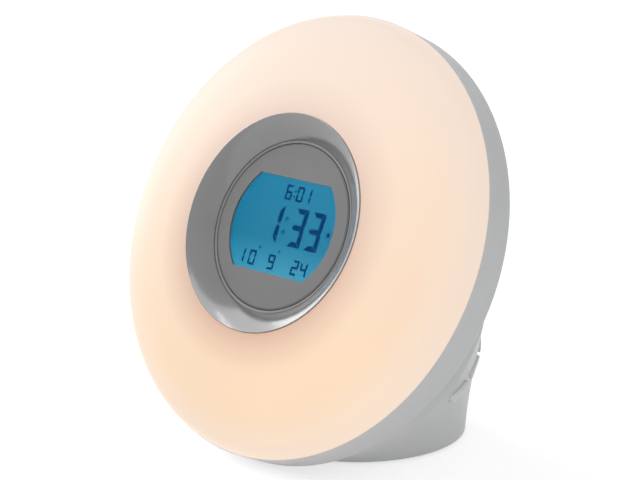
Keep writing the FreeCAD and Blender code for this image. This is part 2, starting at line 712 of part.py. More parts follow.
def diffuser():
    """The opal dome: arcs along an ellipse outside, a skirt with a snap bead and a neck round the cup."""
    wall = size("diffuser_wall")
    edge = size("disc_radius - diffuser_step")
    skirt_out = size("disc_radius - wall - fit_gap")
    skirt_in = skirt_out - wall
    neck_in = size("cup_radius + fit_gap")
    neck_out = neck_in + wall
    neck_low = size("face_level - face_wall - shelf_wall")
    bead, half_bead = -size("skirt_depth - hook_height"), size("hook_height") / 2
    arcs = 3
    turns = [dome_turn(neck_in) * k / (2 * arcs) for k in range(2 * arcs + 1)]
    outside = [dome_point(turn) for turn in turns]
    edges = [Part.Arc(*outside[2 * k:2 * k + 3]).toShape() for k in range(arcs)]
    cones = 4
    first, last = dome_turn(skirt_in, "diffuser_wall"), dome_turn(neck_out, "diffuser_wall")
    inside = [dome_point(first + (last - first) * k / cones, "diffuser_wall") for k in range(cones + 1)]
    edges += run([
        outside[-1],
        Vector(neck_in, 0, neck_low),
        Vector(neck_out, 0, neck_low),
    ] + inside[::-1] + [
        Vector(skirt_in, 0, -size("skirt_depth")),
        Vector(skirt_out, 0, -size("skirt_depth")),
        Vector(skirt_out, 0, bead - half_bead),
        Vector(skirt_out + size("hook_reach"), 0, bead),
        Vector(skirt_out, 0, bead + half_bead),
        Vector(skirt_out, 0, 0),
        Vector(edge, 0, 0),
    ])
    item = fixed("diffuser", turned(edges))
    item.Placement = disc_frame()
    return sub_part(item, "diffuser")


def display_bezel():
    """The glossy dished ring between the diffuser and the display face, on the cup's edge."""
    top = "%.4f + bezel_lip" % dome_height(size("bezel_radius"))
    shelf = "face_level - face_wall"
    skirt = "bezel_radius - bezel_wall"
    body = new_body("display_bezel")
    revolve(body, [
        ("bezel_radius", "cup_top"),
        ("bezel_radius", "%s - 0.4 * bezel_lip" % top),
        ("bezel_radius - 0.6 * bezel_lip", top),
        ("bezel_inner", "bezel_floor", "bezel_sag", -1),
        ("bezel_inner", shelf),
        ("bezel_inner + bezel_wall", shelf),
        ("bezel_inner + bezel_wall", "bezel_floor - 0.4 * bezel_wall"),
        (skirt, "%s - 1.6 * bezel_wall" % top),
        (skirt, "cup_top"),
    ])
    on_disc(body)
    return sub_part(body, "display_bezel")


def window_outline(sketch, spare="0"):
    """The window: a circle with its top and bottom cut straight, drawn out by a formula."""
    radius = "window_radius + (%s)" % spare
    half = "window_half + (%s)" % spare
    corner = "sqrt((%s)^2 - (%s)^2)" % (radius, half)
    outline(sketch, [
        ("-(%s)" % corner, half),
        ("-(%s)" % corner, "-(%s)" % half, radius, -1),
        (corner, "-(%s)" % half),
        (corner, half, radius, -1),
    ])


def display_face():
    """The grey plate with the window through it."""
    body = new_body("display_face")
    revolve(body, [
        ("0", "face_level"),
        ("0", "face_level - face_wall"),
        ("face_radius", "face_level - face_wall"),
        ("face_radius", "face_level - face_round"),
        ("face_radius - 0.3 * face_round", "face_level - 0.3 * face_round"),
        ("face_radius - face_round", "face_level"),
    ])
    hole = new_sketch(body, "XY_Plane", "face_level")
    window_outline(hole)
    pocket(body, hole)
    on_disc(body)
    return sub_part(body, "display_face")


def display_lens():
    """The clear window, just below the face."""
    body = new_body("display_lens")
    sketch = new_sketch(body, "XY_Plane", "face_level - face_wall")
    window_outline(sketch, "-0.5 * fit_gap")
    pad(body, sketch, "face_wall - lens_recess")
    on_disc(body)
    return sub_part(body, "display_lens")


def flat_block(label, half_width, half_height, level, thickness):
    """A flat rectangular piece on the disc's axis."""
    body = new_body(label)
    sketch = new_sketch(body, "XY_Plane", level)
    rectangle(sketch, half_width, half_height)
    pad(body, sketch, thickness)
    on_disc(body)
    return sub_part(body, label)


def ring_of_circles(sketch, radius, circle_radius, count, start):
    """Equal circles on a circle round the sketch's origin."""
    for k in range(int(size(count))):
        turn = start + 360 * k / size(count)
        circle(sketch, radius, "(%s) * cos(%.4f)" % (circle_radius, turn), "(%s) * sin(%.4f)" % (circle_radius, turn))


def display_cup():
    """The cup that carries the display: a wall, a shelf with a pocket, a flange and board posts."""
    shelf = "(face_level - face_wall)"
    thread = "screw_radius + screw_gap"
    body = new_body("display_cup")
    revolve(body, [
        ("cup_radius", "cup_top"),
        ("cup_radius - cup_wall", "cup_top"),
        ("cup_radius - cup_wall", shelf),
        ("0", shelf),
        ("0", "%s - shelf_wall" % shelf),
        ("cup_radius - cup_wall", "%s - shelf_wall" % shelf),
        ("cup_radius - cup_wall", "tray_level"),
        ("cup_radius + 2 * screw_head", "tray_level"),
        ("cup_radius + 2 * screw_head", "tray_level + cup_wall"),
        ("cup_radius", "tray_level + cup_wall"),
    ])
    hole = new_sketch(body, "XY_Plane", shelf)
    rectangle(hole, "lcd_width / 2 + fit_gap", "lcd_height / 2 + fit_gap")
    pocket(body, hole)
    posts = new_sketch(body, "XY_Plane", "main_board_level + board_wall")
    ring_of_circles(posts, "post_radius", "main_post_circle", MAIN_POSTS, 0)
    pad(body, posts, "%s - shelf_wall - main_board_level - board_wall" % shelf)
    pilots = new_sketch(body, "XY_Plane", "main_board_level + board_wall")
    ring_of_circles(pilots, thread, "main_post_circle", MAIN_POSTS, 0)
    pocket(body, pilots, "short_screw", down=False)
    holes = new_sketch(body, "XY_Plane", "tray_level + cup_wall")
    ring_of_circles(holes, thread, "cup_radius + screw_head", "cup_screw_count", CUP_START)
    pocket(body, holes, "2 * cup_wall")
    on_disc(body)
    return sub_part(body, "display_cup")


def lcd_holder():
    """The frame that keeps the light guide and contact strips behind the cell."""
    body = new_body("lcd_holder")
    sketch = new_sketch(body, "XY_Plane", "main_board_level + board_wall")
    rectangle(sketch, "lcd_width / 2 + cup_wall", "lcd_height / 2 + cup_wall")
    rectangle(sketch, "lcd_width / 2 + fit_gap", "lcd_height / 2 + fit_gap")
    pad(body, sketch, "face_level - face_wall - shelf_wall - main_board_level - board_wall")
    on_disc(body)
    return sub_part(body, "lcd_holder")


def contact_strips():
    """Two conducting rubber strips between the board and the cell."""
    low = size("main_board_level + board_wall")
    tall = size("face_level - face_wall - lcd_wall") - low
    long, thick = size("lcd_width - 4 * strip_wall"), size("strip_wall")
    offset = size("guide_height / 2 + fit_gap")
    solids = [Part.makeBox(long, thick, tall, Vector(-long / 2, y, low)) for y in (offset, -offset - thick)]
    return group("contact_strips", solids, disc_frame())


def main_board():
    """The round board behind the display."""
    body = new_body("main_board")
    sketch = new_sketch(body, "XY_Plane", "main_board_level")
    circle(sketch, "main_board_radius")
    ring_of_circles(sketch, "screw_radius + screw_gap", "main_post_circle", MAIN_POSTS, 0)
    pad(body, sketch, "board_wall")
    on_disc(body)
    return sub_part(body, "main_board")


def main_board_parts():
    """Chips and a plug socket as boxes on the main board's back, and its small sounder."""
    level = size("main_board_level")
    boxes = ((14, 14, 1.8, -8, 4), (9, 6, 1.6, 14, 12), (8, 3.5, 3, 12, -4), (18, 5.5, 6, 0, -22))
    solids = [Part.makeBox(wide, deep, tall, Vector(x - wide / 2, y - deep / 2, level - tall))
              for wide, deep, tall, x, y in boxes]
    solids.append(Part.makeCylinder(5, 4, Vector(20, -16, level), Vector(0, 0, -1)))
    return group("main_board_parts", solids, disc_frame())


# Light: tray, lamp board and lamps

def reflector_tray():
    """The white pan behind the lamps, with a sloping wall and screw holes."""
    thread = "screw_radius + screw_gap"
    body = new_body("reflector_tray")
    revolve(body, [
        ("tray_inner", "tray_level"),
        ("tray_inner", "tray_level - tray_wall"),
        ("tray_radius - tray_wall", "tray_level - tray_wall"),
        ("tray_radius", "0"),
        ("tray_radius - tray_wall", "0"),
        ("tray_radius - 2.5 * tray_wall", "tray_level"),
    ])
    holes = new_sketch(body, "XY_Plane", "tray_level")
    ring_of_circles(holes, thread, "post_circle", "post_count", 0)
    ring_of_circles(holes, thread, "cup_radius + screw_head", "cup_screw_count", CUP_START)
    pocket(body, holes)
    on_disc(body)
    return sub_part(body, "reflector_tray")


def lamp_board():
    """The ring-shaped board that carries the lamps."""
    body = new_body("lamp_board")
    sketch = new_sketch(body, "XY_Plane", "tray_level")
    circle(sketch, "led_circle + led_board_half")
    circle(sketch, "led_circle - led_board_half")
    pad(body, sketch, "board_wall")
    on_disc(body)
    return sub_part(body, "lamp_board")


def lamps():
    """The ring of lamps, each a small square case."""
    side, tall = size("led_size"), size("led_height")
    solids = []
    for point in ring_points(size("led_circle"), int(size("led_count")), size("tray_level + board_wall")):
        lamp = Part.makeBox(side, side, tall, Vector(-side / 2, -side / 2, 0))
        lamp.rotate(Vector(0, 0, 0), Vector(0, 0, 1), math.degrees(math.atan2(point.y, point.x)))
        lamp.translate(point)
        solids.append(lamp)
    return group("lamps", solids, disc_frame())


# Base: plate, rubber feet, backup cell and its door

def power_posts():
    """Where the two posts of the power board stand, as formulas."""
    across = "(power_board_width / 2 - post_radius)"
    return [("-" + across, "power_board_front + post_radius"),
            (across, "power_board_front + power_board_depth - post_radius")]


def tab_points(spare):
    """The outline of the battery door's screw tab."""
    half = "(post_radius + %s)" % spare
    return [("0", "-cell_front - %s" % half), ("door_tab + %s" % half, "-cell_front - %s" % half),
            ("door_tab + %s" % half, "-cell_front + %s" % half), ("0", "-cell_front + %s" % half)]


def base_plate():
    """The plate that closes the foot, with the cell's pocket, the door's seat, posts and screw holes."""
    body = new_body("base_plate")
    disc = new_sketch(body)
    circle(disc, "foot_radius - base_lip - 0.5 * fit_gap")
    pad(body, disc, "base_wall")
    cup = new_sketch(body, "XY_Plane", "base_wall")
    circle(cup, "cell_radius + fit_gap + cell_wall", "0", "-cell_front")
    pad(body, cup, "cell_height + 2 * cell_wall")
    posts = new_sketch(body, "XY_Plane", "base_wall")
    for across, along in power_posts():
        circle(posts, "post_radius", across, along)
    pad(body, posts, "power_post")
    pilots = new_sketch(body, "XY_Plane", "base_wall + power_post")
    for across, along in power_posts():
        circle(pilots, "screw_radius + screw_gap", across, along)
    pocket(body, pilots, "short_screw")
    well = new_sketch(body)
    circle(well, "cell_radius + fit_gap", "0", "-cell_front")
    pocket(body, well, "base_wall + cell_height + cell_wall", down=False)
    seat = new_sketch(body)
    circle(seat, "door_radius + fit_gap", "0", "-cell_front")
    pocket(body, seat, "door_wall + 0.5 * fit_gap", down=False)
    tab = new_sketch(body)
    outline(tab, tab_points("fit_gap"))
    pocket(body, tab, "door_wall + 0.5 * fit_gap", down=False)
    threads = new_sketch(body)
    circle(threads, "screw_radius + screw_gap", "door_tab", "-cell_front")
    ring_of_circles(threads, "screw_radius + screw_gap", "base_post_circle", "base_post_count", BASE_START)
    pocket(body, threads, "2 * base_wall", down=False)
    heads = new_sketch(body)
    ring_of_circles(heads, "screw_head + fit_gap", "base_post_circle", "base_post_count", BASE_START)
    pocket(body, heads, "head_sink", down=False)
    on_base(body)
    return sub_part(body, "base_plate")


def battery_door():
    """The round door with its screw tab and the boss that holds the cell."""
    body = new_body("battery_door")
    disc = new_sketch(body)
    circle(disc, "door_radius", "0", "-cell_front")
    pad(body, disc, "door_wall")
    tab = new_sketch(body)
    outline(tab, tab_points("0"))
    pad(body, tab, "door_wall")
    boss = new_sketch(body, "XY_Plane", "door_wall")
    circle(boss, "0.7 * cell_radius", "0", "-cell_front")
    pad(body, boss, "cell_wall")
    thread = new_sketch(body, "XY_Plane", "door_wall")
    circle(thread, "screw_radius + screw_gap", "door_tab", "-cell_front")
    pocket(body, thread, "2 * door_wall")
    head = new_sketch(body)
    circle(head, "screw_head + fit_gap", "door_tab", "-cell_front")
    pocket(body, head, "head_sink", down=False)
    on_base(body)
    return sub_part(body, "battery_door")


def backup_cell():
    """The coin cell that keeps the time."""
    low = size("door_wall + cell_wall")
    item = fixed("backup_cell", Part.makeCylinder(size("cell_radius"), size("cell_height"),
                                                  Vector(0, -size("cell_front"), low)))
    item.Placement = base_frame()
    return sub_part(item, "backup_cell")


def cell_contact():
    """The spring disc between the cell and its pocket's roof."""
    low = size("door_wall + cell_wall + cell_height")
    tall = size("base_wall + cell_wall + cell_height") - low
    item = fixed("cell_contact", Part.makeCylinder(0.5 * size("cell_radius"), tall,
                                                   Vector(0, -size("cell_front"), low)))
    item.Placement = base_frame()
    return sub_part(item, "cell_contact")


def rubber_feet():
    """Four pads under the base plate."""
    radius = size("pad_spread") * math.sqrt(2)
    solids = [Part.makeCylinder(size("pad_radius"), size("foot_gap"), point)
              for point in ring_points(radius, 4, -size("foot_gap"), 45)]
    return group("rubber_feet", solids, base_frame())


# Power: board, parts and inlet

def power_board():
    body = new_body("power_board")
    sketch = new_sketch(body, "XY_Plane", "base_wall + power_post")
    left, right = "-power_board_width / 2", "power_board_width / 2"
    front, back = "power_board_front", "power_board_front + power_board_depth"
    outline(sketch, [(left, front), (right, front), (right, back), (left, back)])
    for across, along in power_posts():
        circle(sketch, "screw_radius + screw_gap", across, along)
    pad(body, sketch, "board_wall")
    on_base(body)
    return sub_part(body, "power_board")


def power_parts():
    """Capacitors and a coil as cylinders, a chip and plug sockets as boxes."""
    level = size("base_wall + power_post + board_wall")
    front = size("power_board_front")
    cans = ((4, 11, -8, 12), (4.5, 4, 6, 10))
    boxes = ((6, 5, 1.7, -1, 17), (5.8, 7.5, 6, -13, 21), (5.8, 7.5, 6, 13, 19))
    solids = [Part.makeCylinder(radius, tall, Vector(x, front + y, level)) for radius, tall, x, y in cans]
    solids += [Part.makeBox(wide, deep, tall, Vector(x - wide / 2, front + y - deep / 2, level))
               for wide, deep, tall, x, y in boxes]
    return group("power_parts", solids, base_frame())


def power_inlet(skin):
    """The inlet's case with its nose in the housing, a blind bore and its pin."""
    axis = jack_axis_height()
    base = base_frame()
    point, normal = skin_hit(skin, base.multVec(Vector(0, 0, axis)), Vector(0, 1, 0))
    outside = base.inverse().multVec(point).y
    wide, tall, long = size("jack_width"), size("jack_tall"), size("jack_long")
    rear = outside - size("foot_wall + jack_back")
    nose_end = outside - size("fit_gap")
    bore_depth = size("jack_depth")
    case = Part.makeBox(wide, long, tall, Vector(-wide / 2, rear - long, axis - tall / 2))
    nose = Part.makeCylinder(size("jack_nose"), nose_end - rear, Vector(0, rear, axis), Vector(0, 1, 0))
    bore = Part.makeCylinder(size("jack_bore"), bore_depth, Vector(0, nose_end, axis), Vector(0, -1, 0))
    pin = Part.makeCylinder(size("jack_pin"), bore_depth, Vector(0, nose_end - 1, axis), Vector(0, -1, 0))
    item = fixed("power_inlet", case.fuse(nose).cut(bore).fuse(pin).removeSplitter())
    item.Placement = base
    return sub_part(item, "power_inlet")


# Sound: basket, magnet and cone

def speaker(skin):
    """The loudspeaker's pieces, seated on the collar in the housing."""
    flange = size("speaker_radius + speaker_flange")
    metal, deep = size("speaker_sheet"), size("speaker_depth")
    throat = size("speaker_radius - speaker_flange")
    magnet = size("magnet_radius")

    def closed(points):
        places = [Vector(x, 0, z) for x, z in points]
        return turned(run(places + places[:1]))

    basket = closed([
        (flange, 0), (flange, -metal), (throat + metal, -metal), (magnet, -deep), (magnet / 2, -deep),
        (magnet / 2, -deep + metal), (magnet - metal, -deep + metal), (throat, 0),
    ])
    magnet_solid = Part.makeCylinder(magnet, size("magnet_height"), Vector(0, 0, -deep - size("magnet_height")))
    gap = size("fit_gap")
    cone = closed([
        (throat - gap, 0), (magnet - metal - gap, -deep + 2 * metal), (0, -deep + 2 * metal),
        (0, -deep + 3 * metal), (magnet - 2 * metal, -deep + 3 * metal), (throat - 3 * gap, 0),
    ])
    for label, shape in (("speaker_basket", basket), ("speaker_magnet", magnet_solid), ("speaker_cone", cone)):
        item = fixed(label, shape)
        item.Placement = speaker_frame(skin)
        sub_part(item, label)


# Keys with their boards and switches

def key_nodes(stations, skin):
    """Every key as its own piece, and each row's board and switches."""
    for station in stations:
        for index, label in enumerate(station.keys):
            sub_part(fixed(label, station.key_shape(skin, index)), label)
        sub_part(fixed(station.name + "_key_board", station.board_solid()), station.name + "_key_board")
        group(station.name + "_key_switches", station.switch_solids())


# Screws, one node for each kind of joint

def screws(stations, skin):
    disc, base, seat = disc_frame(), base_frame(), speaker_frame(skin)
    down, up = Vector(0, 0, -1), Vector(0, 0, 1)
    short, long = size("short_screw"), size("screw_length")
    kinds = [
        ("tray_screws", disc, down, short,
         ring_points(size("post_circle"), int(size("post_count")), size("tray_level"))),
        ("cup_screws", disc, down, size("cup_wall + tray_wall"),
         ring_points(size("cup_radius + screw_head"), int(size("cup_screw_count")),
                     size("tray_level + cup_wall"), CUP_START)),
        ("main_board_screws", disc, up, short,
         ring_points(size("main_post_circle"), int(MAIN_POSTS), size("main_board_level"))),
        ("power_board_screws", base, down, short,
         [Vector(size(x), size(y), size("base_wall + power_post + board_wall")) for x, y in power_posts()]),
        ("base_screws", base, up, long,
         ring_points(size("base_post_circle"), int(size("base_post_count")), size("head_sink"), BASE_START)),
        ("battery_door_screw", base, up, short,
         [Vector(size("door_tab"), -size("cell_front"), size("head_sink"))]),
        ("speaker_screws", seat, up, short,
         ring_points(speaker_screw_circle(), int(size("speaker_screw_count")), -size("speaker_sheet"), 90)),
    ]
    for label, frame, direction, length, points in kinds:
        group(label, [screw(point, direction, length) for point in points], frame)
    group("key_board_screws", [solid for station in stations for solid in station.screw_solids()])


def check_and_export():
    """Stops on any failed object or shape, then writes every piece."""
    doc.recompute()
    for item in doc.Objects:
        if "Invalid" in item.State or "Error" in item.State:
            raise RuntimeError("%s failed: %s" % (item.Name, item.State))
    for item in SUB_PARTS:
        if item.Shape.isNull() or not item.Shape.isValid():
            raise RuntimeError("%s has no valid shape" % item.Label)
    os.makedirs("parts", exist_ok=True)
    for item in SUB_PARTS:
        item.Shape.exportStep("parts/%s.step" % item.Label)


STATIONS = []
housing, foot_skin = rear_housing(STATIONS)
diffuser()
display_bezel()
display_face()
display_lens()
flat_block("lcd_cell", "lcd_width / 2", "lcd_height / 2", "face_level - face_wall - lcd_wall", "lcd_wall")
flat_block("lcd_light_guide", "lcd_width / 2", "guide_height / 2",
           "face_level - face_wall - lcd_wall - guide_wall", "guide_wall")
display_cup()
lcd_holder()
contact_strips()
main_board()
main_board_parts()
reflector_tray()
lamp_board()
lamps()
base_plate()
battery_door()
backup_cell()
cell_contact()
rubber_feet()
power_board()
power_parts()
power_inlet(foot_skin)
speaker(foot_skin)
key_nodes(STATIONS, foot_skin)
screws(STATIONS, foot_skin)
check_and_export()
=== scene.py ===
import json
import math

import bmesh
import bpy
from mathutils import Matrix, Vector


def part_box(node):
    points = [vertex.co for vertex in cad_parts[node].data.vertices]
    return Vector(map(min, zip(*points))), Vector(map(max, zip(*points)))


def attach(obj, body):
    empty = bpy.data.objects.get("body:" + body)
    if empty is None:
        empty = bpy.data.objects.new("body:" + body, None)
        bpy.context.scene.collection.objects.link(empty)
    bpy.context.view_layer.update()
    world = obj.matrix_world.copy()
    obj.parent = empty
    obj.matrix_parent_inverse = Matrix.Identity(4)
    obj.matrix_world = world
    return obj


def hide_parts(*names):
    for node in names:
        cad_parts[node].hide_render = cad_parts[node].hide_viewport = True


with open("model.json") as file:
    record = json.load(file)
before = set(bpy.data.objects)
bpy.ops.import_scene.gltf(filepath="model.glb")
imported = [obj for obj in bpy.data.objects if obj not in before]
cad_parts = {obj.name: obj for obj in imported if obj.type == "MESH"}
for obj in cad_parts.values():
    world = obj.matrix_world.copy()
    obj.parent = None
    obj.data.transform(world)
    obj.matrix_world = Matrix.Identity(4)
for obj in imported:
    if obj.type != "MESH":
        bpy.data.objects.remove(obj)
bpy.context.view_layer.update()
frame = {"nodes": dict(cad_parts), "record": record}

# Sunrise alarm clock: a glowing disc that leans back on a trumpet-shaped foot.
# Metres, +Z up, the disc faces -Y. The disc's own frame has Z out of its front and Y up its face.
MM = 0.001
TILT = math.radians(25)

# The display in the disc's frame: heights, walls and the window's outline
LENS_TOP = 13.3 * MM
LENS_WALL = 0.9 * MM
GLASS_TOP = 12.1 * MM
GLASS_WALL = 1.5 * MM
INK_WALL = 0.06 * MM
WINDOW_RADIUS = 29.9 * MM
WINDOW_HALF = 21.3 * MM
PANE_GAP = 0.15 * MM
GLASS_OVERLAP = 0.2 * MM

# A low refractive index keeps reflections off the window
LENS_INDEX = 1.05
GUIDE_INDEX = 1.46

# The bezel's section in the disc's frame, in millimetres
BEZEL_RADIUS = 48.84
BEZEL_WALL = 1.8
BEZEL_FOOT = 15.4
BEZEL_TOP = 21.3
BEZEL_INNER = 38.5
BEZEL_FLOOR = 14.1
BEZEL_SHELF = 12.35
BEZEL_DISH = 26
BEZEL_UNDER_FLOOR = 0.7
BEZEL_UNDER_TOP = 2.9

# Its softened edges: how far in and how far down. The outer one has a point on its bend.
OUTER_EDGE = (0.3, 0.3)
OUTER_BEND = (0.08, 0.1)
INNER_EDGE = (0.1, 0.15)

# The lip between the face and the bezel, in millimetres
FACE_RADIUS = 37.2
FACE_GAP = 0.16
LIP_GAP = 0.04
LIP_TOP = 13.4
LIP_SLOPE = 0.05
LIP_EDGE = (0.14, 0.15)


def disc_matrix():
    """The disc's frame, from the lens: its middle lies on the disc's axis."""
    turn = Matrix.Rotation(math.pi / 2 - TILT, 4, "X")
    low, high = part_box("display_lens")
    across = turn.inverted() @ ((low + high) / 2)
    level = max((turn.inverted() @ v.co).z for v in frame["nodes"]["display_lens"].data.vertices)
    centre = turn @ Vector((across.x, across.y, level - LENS_TOP))
    return Matrix.Translation(centre) @ turn


DISC = disc_matrix()


# Node helpers

def new_material(name):
    """A material with one shader, its node tree and that shader."""
    material = bpy.data.materials.new(name)
    material.use_nodes = True
    tree = material.node_tree
    return material, tree, tree.nodes["Principled BSDF"]


def node(tree, kind, inputs=(), **settings):
    """A node with its settings and its inputs, each a value or a socket."""
    made = tree.nodes.new("ShaderNode" + kind)
    for key, value in settings.items():
        setattr(made, key, value)
    for key, value in dict(inputs).items():
        if isinstance(value, bpy.types.NodeSocket):
            tree.links.new(value, made.inputs[key])
        else:
            made.inputs[key].default_value = value
    return made


def place(tree):
    """The surface's own place in metres."""
    return node(tree, "TexCoord").outputs["Object"]


def noise(tree, scale, detail=2.0, roughness=0.5):
    """Cloudy noise over the surface, from 0 to 1."""
    return node(tree, "TexNoise", {"Vector": place(tree), "Scale": scale, "Detail": detail,
                                   "Roughness": roughness}).outputs["Fac"]


def ramp(tree, value, stops):
    """A colour ramp. Each stop is a position and a colour."""
    made = node(tree, "ValToRGB", {"Fac": value})
    elements = made.color_ramp.elements
    while len(elements) < len(stops):
        elements.new(0.5)
    for element, (position, colour) in zip(elements, stops):
        element.position = position
        element.color = (*colour, 1)
    return made.outputs["Color"]


def remap(tree, value, low, high, new_low, new_high):
    """A value moved from one range to another."""
    return node(tree, "MapRange", {"Value": value, "From Min": low, "From Max": high,
                                   "To Min": new_low, "To Max": new_high}).outputs["Result"]


def bump(tree, shader, height, distance, strength=1.0):
    """Gives a shader a bumpy surface."""
    made = node(tree, "Bump", {"Height": height, "Distance": distance, "Strength": strength})
    tree.links.new(made.outputs["Normal"], shader.inputs["Normal"])


def linear(red, green, blue):
    """A colour given as it looks on a screen, 0 to 255, as light."""
    def one(value):
        value /= 255
        return value / 12.92 if value <= 0.04045 else ((value + 0.055) / 1.055) ** 2.4
    return one(red), one(green), one(blue)


def moulded(name, colour, roughness, grain=0.0, mottle=0.02):
    """Moulded plastic: a slight cloudiness in its colour and gloss, and a fine grain."""
    material, tree, shader = new_material(name)
    cloud = noise(tree, 60, 3)
    dark = tuple(c * (1 - mottle) for c in colour)
    light = tuple(min(1, c * (1 + mottle)) for c in colour)
    tree.links.new(ramp(tree, cloud, [(0.3, dark), (0.7, light)]), shader.inputs["Base Color"])
    gloss = remap(tree, noise(tree, 180, 2), 0.3, 0.7, roughness - 0.03, roughness + 0.03)
    tree.links.new(gloss, shader.inputs["Roughness"])
    if grain:
        bump(tree, shader, noise(tree, 2600, 2), grain)
    return material


def metal(name, colour, roughness):
    """Sheet or turned metal with a faint streak in its gloss."""
    material, tree, shader = new_material(name)
    shader.inputs["Metallic"].default_value = 1.0
    streak = remap(tree, noise(tree, 900, 3), 0.3, 0.7, roughness - 0.06, roughness + 0.06)
    tree.links.new(streak, shader.inputs["Roughness"])
    dark = tuple(c * 0.9 for c in colour)
    tree.links.new(ramp(tree, noise(tree, 220), [(0.3, dark), (0.7, colour)]), shader.inputs["Base Color"])
    return material


# The glow: warm light from within, pale at the rim and rosy round the bezel, with painted light at the top:
# paler and cooler there, where the lamps' light falls

GLOW_WARM = linear(235, 198, 158)
GLOW_PALE = linear(228, 202, 178)
GLOW_ROSY = linear(196, 142, 104)
# Painted light: a pale colour mixed into the glow towards the top, where the lamps' light falls
PAINTED_LIGHT_TINT = linear(221, 201, 187)

# Where it changes in the disc's frame: out from the axis in millimetres, then upwards and across
GLOW_NEAR, GLOW_FAR = 45, 100
PAINTED_LIGHT_FROM, PAINTED_LIGHT_TO = -60 * MM, 100 * MM
SLOPE_HALF = 90 * MM

# The share of painted light at the top, and the strength of the glow at the left and at the right
PAINTED_LIGHT_SHARE = 0.8
GLOW_LEFT, GLOW_RIGHT = 0.8, 0.95
GLOW_PATCHES = 0.015


def from_axis(tree):
    """A point's distance from the disc's axis in millimetres, and its place in the disc's frame."""
    local = node(tree, "Mapping", {"Vector": place(tree)}, vector_type="POINT")
    turned = DISC.inverted()
    local.inputs["Rotation"].default_value = turned.to_euler()
    local.inputs["Location"].default_value = turned.translation
    parts = node(tree, "SeparateXYZ", {"Vector": local.outputs["Vector"]})
    flat = node(tree, "CombineXYZ", {"X": parts.outputs["X"], "Y": parts.outputs["Y"]})
    length = node(tree, "VectorMath", {0: flat.outputs["Vector"]}, operation="LENGTH").outputs["Value"]
    return node(tree, "Math", {0: length, 1: 1 / MM}, operation="MULTIPLY").outputs["Value"], parts


def opal():
    """The lit dome: its glow changes with the distance from the axis and across, and it turns paler towards
    the top with painted light.
    """
    material, tree, shader = new_material("opal_diffuser")
    radius, parts = from_axis(tree)
    share = remap(tree, radius, GLOW_NEAR, GLOW_FAR, 0, 1)
    glow = ramp(tree, share, [
        (0.07, GLOW_ROSY),
        (0.20, tuple(0.5 * a + 0.5 * b for a, b in zip(GLOW_ROSY, GLOW_WARM))),
        (0.38, GLOW_WARM),
        (0.68, GLOW_WARM),
        (0.97, GLOW_PALE),
    ])
    # Painted light: the glow turns paler and cooler towards the top, where the lamps' light falls
    top_share = remap(tree, parts.outputs["Y"], PAINTED_LIGHT_FROM, PAINTED_LIGHT_TO, 0, PAINTED_LIGHT_SHARE)
    painted_light_mix = node(tree, "Mix", {"Factor": top_share}, data_type="RGBA")
    tree.links.new(glow, painted_light_mix.inputs["A"])
    painted_light_mix.inputs["B"].default_value = (*PAINTED_LIGHT_TINT, 1)
    shader.inputs["Base Color"].default_value = (0.27, 0.265, 0.26, 1)
    shader.inputs["Roughness"].default_value = 0.42
    shader.inputs["Specular IOR Level"].default_value = 0.25
    tree.links.new(painted_light_mix.outputs["Result"], shader.inputs["Emission Color"])
    patches = remap(tree, noise(tree, 14, 1), 0.3, 0.7, -GLOW_PATCHES, GLOW_PATCHES)
    slope = remap(tree, parts.outputs["X"], -SLOPE_HALF, SLOPE_HALF, GLOW_LEFT, GLOW_RIGHT)
    level = node(tree, "Math", {0: patches, 1: slope}, operation="ADD").outputs["Value"]
    tree.links.new(level, shader.inputs["Emission Strength"])
    bump(tree, shader, noise(tree, 1800, 2), 0.02 * MM)
    return material


# Display: blue back-lit glass with dark figures

LIT_HALF_WIDTH = 30 * MM
LIT_HALF_HEIGHT = 22 * MM


def display_blue():
    """The back-lit glass: lighter at its lower edge and darker at its left."""
    material, tree, shader = new_material("display_glass")
    parts = from_axis(tree)[1]
    up = remap(tree, parts.outputs["Y"], -LIT_HALF_HEIGHT, LIT_HALF_HEIGHT, 0, 1)
    across = remap(tree, parts.outputs["X"], -LIT_HALF_WIDTH, LIT_HALF_WIDTH, 0, 1)
    low_light = ramp(tree, up, [(0.0, linear(68, 154, 186)), (0.35, linear(38, 126, 160)),
                                (1.0, linear(38, 129, 166))])
    side = ramp(tree, across, [(0.0, linear(150, 238, 243)), (0.25, linear(224, 249, 251)),
                               (0.6, (1, 1, 1)), (1.0, linear(250, 254, 255))])
    both = node(tree, "Mix", data_type="RGBA", blend_type="MULTIPLY")
    both.inputs["Factor"].default_value = 1.0
    tree.links.new(low_light, both.inputs["A"])
    tree.links.new(side, both.inputs["B"])
    tree.links.new(both.outputs["Result"], shader.inputs["Emission Color"])
    shader.inputs["Emission Strength"].default_value = 1.0
    shader.inputs["Base Color"].default_value = (0.004, 0.012, 0.014, 1)
    shader.inputs["Specular IOR Level"].default_value = 0.0
    shader.inputs["Roughness"].default_value = 0.5
    return material


def ink(name, colour):
    """A figure's colour on the lit glass."""
    material, tree, shader = new_material(name)
    cloud = ramp(tree, noise(tree, 90), [(0.3, tuple(0.9 * c for c in colour)), (0.7, colour)])
    tree.links.new(cloud, shader.inputs["Emission Color"])
    shader.inputs["Emission Strength"].default_value = 0.95
    shader.inputs["Base Color"].default_value = (0.002, 0.004, 0.006, 1)
    shader.inputs["Specular IOR Level"].default_value = 0.0
    shader.inputs["Roughness"].default_value = 0.6
    return material


def clear(name, index):
    """Clear plastic with its refractive index."""
    material, tree, shader = new_material(name)
    shader.inputs["Transmission Weight"].default_value = 1.0
    shader.inputs["Base Color"].default_value = (0.99, 0.995, 1, 1)
    shader.inputs["IOR"].default_value = index
    tree.links.new(remap(tree, noise(tree, 120), 0.3, 0.7, 0.0, 0.02), shader.inputs["Roughness"])
    return material


# Mesh helpers

